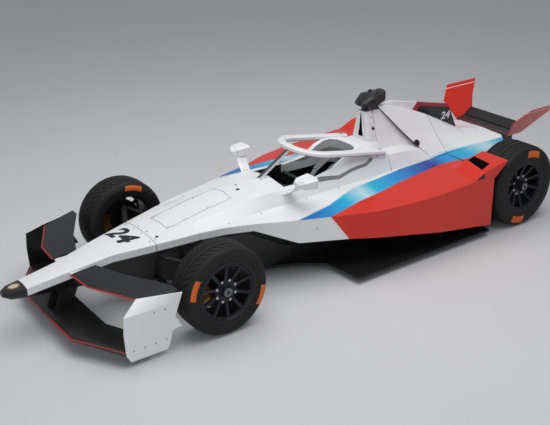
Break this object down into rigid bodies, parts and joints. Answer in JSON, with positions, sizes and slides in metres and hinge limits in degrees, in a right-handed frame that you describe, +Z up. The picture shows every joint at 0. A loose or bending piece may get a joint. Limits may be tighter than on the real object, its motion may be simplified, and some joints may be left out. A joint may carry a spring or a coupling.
{
  "type": "open wheel racing car",
  "caption": "Single-seat electric open wheel racing car with a wedge body, halo, winged nose, canted rear wing plates and steered slick wheels.",
  "frame": {"origin": "on the ground, under the middle of the length", "axes": "+X forward, +Y to the car's left, +Z up"},
  "size_m": [5.016, 1.7, 1.1679],
  "materials": {
    "white_paint": "gloss",
    "red_paint": "gloss",
    "black_carbon": "satin",
    "suspension_black": "satin",
    "wheel_black": "satin",
    "tyre": "matte",
    "drive_alloy": "cast",
    "battery_case": "matte",
    "seat_black": "matte",
    "pad_white": "satin",
    "grip_black": "matte"
  },
  "bodies": {
    "chassis": {"nose_cone": "white_paint", "nose_tip": "black_carbon", "monocoque": "white_paint", "sidepod_left": "white_paint", "sidepod_right": "white_paint", "engine_cover": "white_paint", "tail_deck": "white_paint", "tail_fin": "black_carbon", "roll_hoop": "white_paint", "camera_pod": "black_carbon", "halo": "white_paint", "head_surround": "pad_white", "seat": "seat_black", "floor": "black_carbon", "diffuser": "black_carbon", "battery_pack": "battery_case", "rear_drive_unit": "drive_alloy", "rear_crash_box": "black_carbon", "front_wing_lower": "black_carbon", "front_wing_upper": "black_carbon", "front_endplate_left": "white_paint", "front_endplate_right": "white_paint", "rear_wing": "black_carbon", "rear_endplate_left": "red_paint", "rear_endplate_right": "red_paint", "mirror_left": "white_paint", "mirror_right": "white_paint", "front_wishbones_left": "suspension_black", "front_wishbones_right": "suspension_black", "rear_wishbones_left": "suspension_black", "rear_wishbones_right": "suspension_black", "rear_upright_left": "suspension_black", "rear_upright_right": "suspension_black"},
    "knuckle_left": {"front_upright_left": "suspension_black"},
    "knuckle_right": {"front_upright_right": "suspension_black"},
    "rack": {"steering_rack": "suspension_black"},
    "driver_wheel": {"steering_wheel": "grip_black"},
    "wheel_front_left": {"front_tyre_left": "tyre", "front_rim_left": "wheel_black"},
    "wheel_front_right": {"front_tyre_right": "tyre", "front_rim_right": "wheel_black"},
    "wheel_rear_left": {"rear_tyre_left": "tyre", "rear_rim_left": "wheel_black"},
    "wheel_rear_right": {"rear_tyre_right": "tyre", "rear_rim_right": "wheel_black"}
  },
  "joints": [
    {"name": "steer_left", "type": "hinge", "parent": "chassis", "child": "knuckle_left", "pos_m": [1.252, 0.655, 0.325], "axis": [0, 0, 1], "range_deg": [-18, 18]},
    {"name": "steer_right", "type": "hinge", "parent": "chassis", "child": "knuckle_right", "pos_m": [1.252, -0.655, 0.325], "axis": [0, 0, 1], "range_deg": [-18, 18]},
    {"name": "rack_slide", "type": "slide", "parent": "chassis", "child": "rack", "axis": [0, 1, 0], "range_m": [-0.0362, 0.0362]},
    {"name": "driver_wheel_turn", "type": "hinge", "parent": "chassis", "child": "driver_wheel", "pos_m": [0.07, 0, 0.555], "axis": [-0.9397, 0, 0.342], "range_deg": [-181, 181]},
    {"name": "roll_front_left", "type": "hinge", "parent": "knuckle_left", "child": "wheel_front_left", "pos_m": [1.252, 0.725, 0.325], "axis": [0, 1, 0], "continuous": true},
    {"name": "roll_front_right", "type": "hinge", "parent": "knuckle_right", "child": "wheel_front_right", "pos_m": [1.252, -0.725, 0.325], "axis": [0, 1, 0], "continuous": true},
    {"name": "roll_rear_left", "type": "hinge", "parent": "chassis", "child": "wheel_rear_left", "pos_m": [-1.718, 0.6975, 0.35], "axis": [0, 1, 0], "continuous": true},
    {"name": "roll_rear_right", "type": "hinge", "parent": "chassis", "child": "wheel_rear_right", "pos_m": [-1.718, -0.6975, 0.35], "axis": [0, 1, 0], "continuous": true}
  ],
  "couplings": [
    {"joint": "steer_right", "follows": "steer_left", "ratio": 1},
    {"joint": "rack_slide", "follows": "steer_left", "m_per_rad": -0.115},
    {"joint": "driver_wheel_turn", "follows": "steer_left", "ratio": 10}
  ]
}
